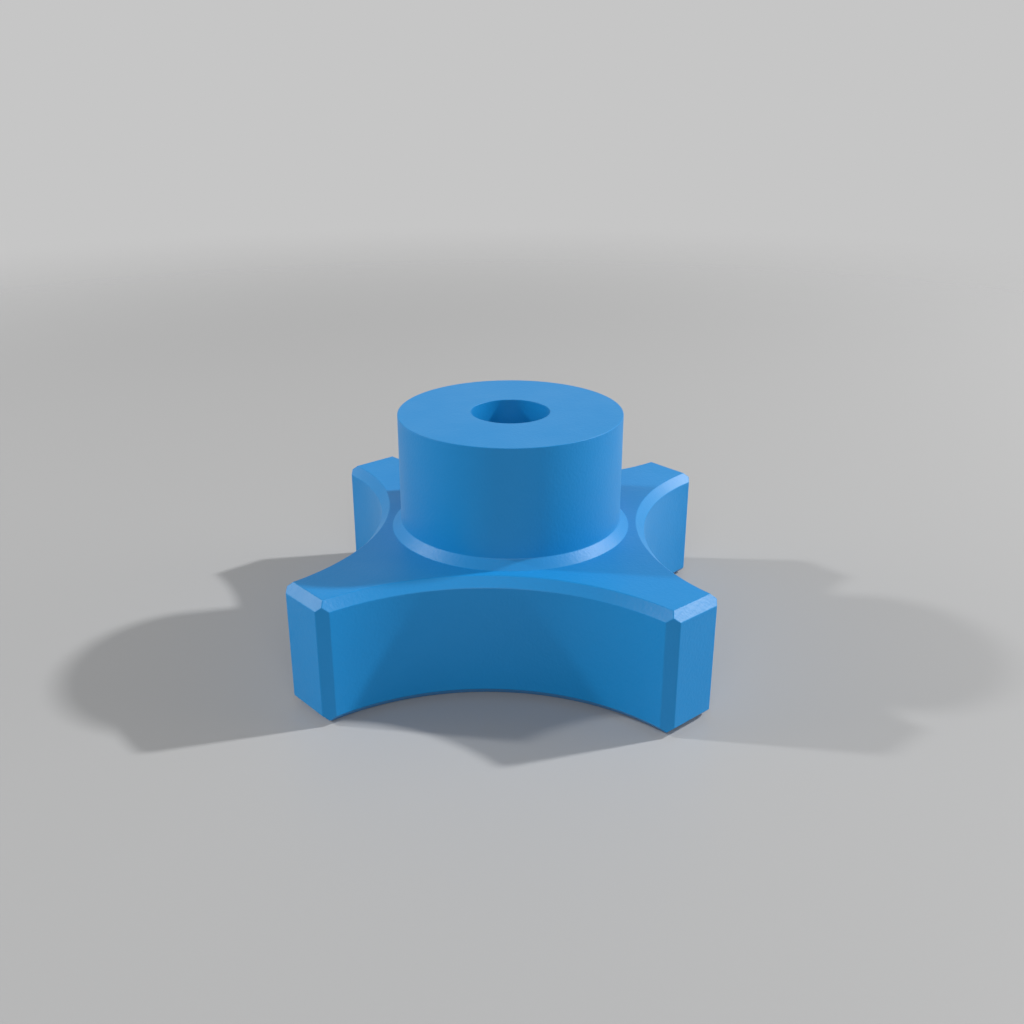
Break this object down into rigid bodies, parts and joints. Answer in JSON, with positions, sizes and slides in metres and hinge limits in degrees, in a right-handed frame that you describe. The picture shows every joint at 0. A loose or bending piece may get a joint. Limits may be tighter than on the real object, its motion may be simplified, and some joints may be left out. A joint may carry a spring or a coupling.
{
  "type": "mower deck knob",
  "caption": "One-piece plastic hand knob with square-ended arms, round finger hollows between them, a cylindrical hub and a plain through bore.",
  "frame": {"origin": "centre of the palm face, on the knob's axis, at the bottom of the part as it stands", "axes": "+Z along the knob's axis from the palm face towards the hub's open end; the arms lie along +X, -X, +Y and -Y"},
  "size_m": [0.0572, 0.0572, 0.0277],
  "materials": {
    "blue_plastic": "satin"
  },
  "bodies": {
    "root": {"knob": "blue_plastic"}
  },
  "joints": []
}
